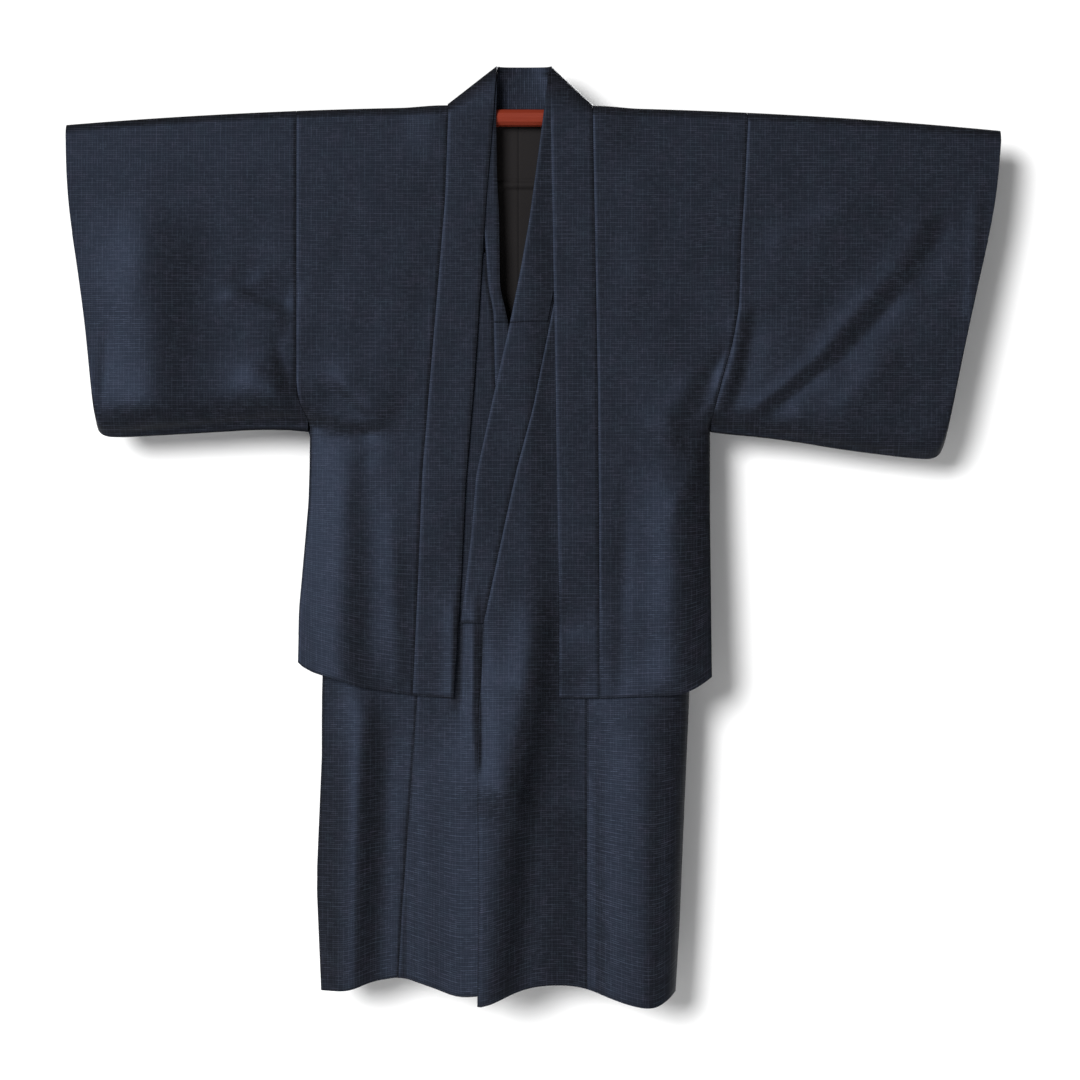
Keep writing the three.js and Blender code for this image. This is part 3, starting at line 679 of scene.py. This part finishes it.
cotton = Finish("dark_lining", Roughness=0.8, Specular_IOR_Level=0.1)
flat = cotton.node("UVMap", {"uv_map": "flat"}, {})
threads = cotton.node("Mapping", {}, {"Vector": flat, "Scale": (900, 900, 1)})
weave = cotton.node("TexNoise", {}, {"Vector": threads, "Scale": 1.0, "Detail": 2.0}, "Fac")
shade = cotton.node("TexNoise", {}, {"Vector": flat, "Scale": 9.0, "Detail": 3.0}, "Fac")
cotton.feed("Base Color", cotton.blend(weave * 0.5 + shade * 0.5, (0.009, 0.008, 0.008, 1),
                                       (0.017, 0.015, 0.0155, 1)))
cotton.bump(weave, 0.0002, 0.4)
for side, half in SIDES.items():
    grid = lining_grid(half)
    shell = cloth_piece(f"kimono_lining_{side}_cloth", grid, [(0, grid[..., [0, 2]])], cotton, 0.0008)
    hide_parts(f"kimono_lining_{side}")

# The haori's body: two strips like the kimono's, shorter and looser, worn over it and left open.
LOOSE = 0.004
HAORI_LEVEL = KIMONO_LEVEL + CLOTH + SEAM
haori_side = {
    LEFT: columns(
        "drop x", (0, -0.3465), (0.434, -0.3465), (0.465, -0.342), (0.487, -0.326), (0.56, -0.3265),
        (0.62, -0.328), (0.742, -0.3373), (0.804, -0.342), (0.892, -0.3435)),
    RIGHT: columns(
        "drop x", (0, 0.3465), (0.126, 0.34), (0.189, 0.3357), (0.293, 0.3326), (0.354, 0.323),
        (0.403, 0.3095), (0.487, 0.289), (0.62, 0.2885), (0.892, 0.291)),
}
haori_band = {
    LEFT: columns(
        "drop seam edge", (0, -0.114, -0.044), (0.126, -0.1186, -0.055), (0.28, -0.1314, -0.065),
        (0.403, -0.1417, -0.073), (0.557, -0.154, -0.086), (0.705, -0.1595, -0.093),
        (0.892, -0.168, -0.105)),
    RIGHT: columns(
        "drop seam edge", (0, 0.1085, 0.044), (0.129, 0.111, 0.0462), (0.403, 0.116, 0.0513),
        (0.614, 0.118, 0.0544), (0.747, 0.1185, 0.057), (0.892, 0.1186, 0.057)),
}
haori_hem = {
    LEFT: columns(
        "x z", (-0.343, -0.838), (-0.33, -0.85), (-0.314, -0.855), (-0.25, -0.875),
        (-0.169, -0.888), (-0.105, -0.892)),
    RIGHT: columns(
        "x z", (0.057, -0.893), (0.119, -0.893), (0.242, -0.887), (0.259, -0.881),
        (0.274, -0.873), (0.291, -0.86)),
}
haori = {
    "name": "haori", "length": 0.892, "back_hem": -0.88, "armhole": 0.546, "back_end": 0.948,
    "side": haori_side, "hem": haori_hem, "band": haori_band, "band_level": 0.0196, "grows": 0.06,
    "neck_top": {"z": 0.08, LEFT: -0.0385, RIGHT: 0.0445},
}
for side, half in SIDES.items():
    grid = body_grid(haori, half)
    maps = [(0, flat_map(grid, SHOULDER_ROW))]
    shell = cloth_piece(f"haori_body_{side}_cloth", grid, maps, pongee, SILK)
    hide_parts(f"haori_body_{side}")

# The haori's gussets: a narrow strip under each arm between front and back, folded inwards.


def gusset_grid(half, across=21, down=60):
    """y across from the front's edge to the back's, z between their heights on the same row, and
    x drawn inwards to a fold in the middle."""
    v, w = np.linspace(0.948, 0.6, down)[:, None], np.linspace(-1, 1, across)[None, :]
    x = track(haori_side[half], "drop", "x")(v * haori["length"])
    reach = SEWN + (v - haori["armhole"]) * haori["length"] * haori["grows"] - CLOTH - SEAM
    hem = track(haori_hem[half], "x", "z")(x)
    front, back = (rod_z(x) + (low - rod_z(x)) * v for low in (hem, haori["back_hem"]))
    z = front + (back - front) * (w + 1) / 2
    return np.stack(np.broadcast_arrays(x - half * 1.1 * reach * (1 - np.abs(w)), reach * w, z), -1)


for side, half in SIDES.items():
    grid = gusset_grid(half)
    maps = [(0, grid[..., [1, 2]])]
    shell = cloth_piece(f"haori_gusset_{side}_cloth", grid, maps, pongee, SILK)
    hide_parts(f"haori_gusset_{side}")

# The haori's sleeves: as the kimono's, a little larger all round.
for side, half in SIDES.items():
    grid = sleeve_grid(haori, half, haori_rings[half], along=96, down=84)
    maps = [(0, sleeve_map(grid))]
    shell = cloth_piece(f"haori_sleeve_{side}_cloth", grid, maps, pongee, SILK, ring=True)
    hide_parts(f"haori_sleeve_{side}")

# The haori's collar: a band folded outwards, which runs to the hem on both fronts.
HAORI_BAND_ROWS = 190
grid = band_grid(haori, {LEFT: 1.0, RIGHT: 1.0}, down=HAORI_BAND_ROWS)
maps = band_maps(grid, HAORI_BAND_ROWS + FRONT_FAN)
shell = cloth_piece("haori_collar_cloth", grid, maps, pongee, 0.0019)
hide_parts("haori_collar")

# The studio: a pale floor below the set, a white wall behind it that shows only from the front, a
# large soft light from the upper left, a second one for the back and a dim white surround.


def plane(name, corners, finish):
    mesh = bpy.data.meshes.new(name)
    mesh.from_pydata(corners, [], [(0, 1, 2, 3)])
    mesh.materials.append(finish.material)
    made = bpy.data.objects.new(name, mesh)
    bpy.context.scene.collection.objects.link(made)
    return made


FLOOR_Z, WALL_Y = -1.56, 0.085
paper = Finish("white_paper", Base_Color=(0.93, 0.93, 0.93, 1), Roughness=0.9)
plane("floor", [(-6, -9, FLOOR_Z), (6, -9, FLOOR_Z), (6, 6, FLOOR_Z), (-6, 6, FLOOR_Z)], paper)
screen = Finish("white_wall", Base_Color=(0.93, 0.93, 0.93, 1), Roughness=0.9)
behind = screen.node("NewGeometry", {}, {}, "Backfacing")
seen_through = screen.tree.nodes.new("ShaderNodeBsdfTransparent")
sides = screen.tree.nodes.new("ShaderNodeMixShader")
for source, target in (
        (behind.socket, sides.inputs[0]), (screen.surface.outputs[0], sides.inputs[1]),
        (seen_through.outputs[0], sides.inputs[2]),
        (sides.outputs[0], screen.tree.nodes["Material Output"].inputs["Surface"])):
    screen.tree.links.new(source, target)
wall = plane("wall", [(-4, WALL_Y, FLOOR_Z), (4, WALL_Y, FLOOR_Z), (4, WALL_Y, 3), (-4, WALL_Y, 3)],
             screen)
wall.visible_shadow = wall.visible_diffuse = wall.visible_glossy = False

for name, energy, direction in (("key", 3.85, (0.54, 1, -0.30)), ("back", 2.6, (-0.5, -1, -0.42))):
    sun = bpy.data.lights.new(name, "SUN")
    sun.energy, sun.angle = energy, math.radians(26)
    lamp = bpy.data.objects.new(name, sun)
    lamp.rotation_euler = Vector(direction).to_track_quat("-Z", "Y").to_euler()
    bpy.context.scene.collection.objects.link(lamp)
world = bpy.data.worlds.new("surround")
world.use_nodes = True
world.node_tree.nodes["Background"].inputs["Color"].default_value = (1, 1, 1, 1)
world.node_tree.nodes["Background"].inputs["Strength"].default_value = 0.12
bpy.context.scene.world = world
bpy.context.scene.view_settings.view_transform = "Standard"

# The camera: level and square to the set, far enough off to show it almost without perspective.
lens = bpy.data.cameras.new("camera")
SENSOR, DISTANCE, VIEW_WIDTH = 36, 6, 1.6632
lens.sensor_width, lens.lens = SENSOR, SENSOR * DISTANCE / VIEW_WIDTH
camera = bpy.data.objects.new("camera", lens)
camera.location = (0.0277, -DISTANCE, -0.6499)
camera.rotation_euler = (math.pi / 2, 0, 0)
bpy.context.scene.collection.objects.link(camera)
bpy.context.scene.camera = camera
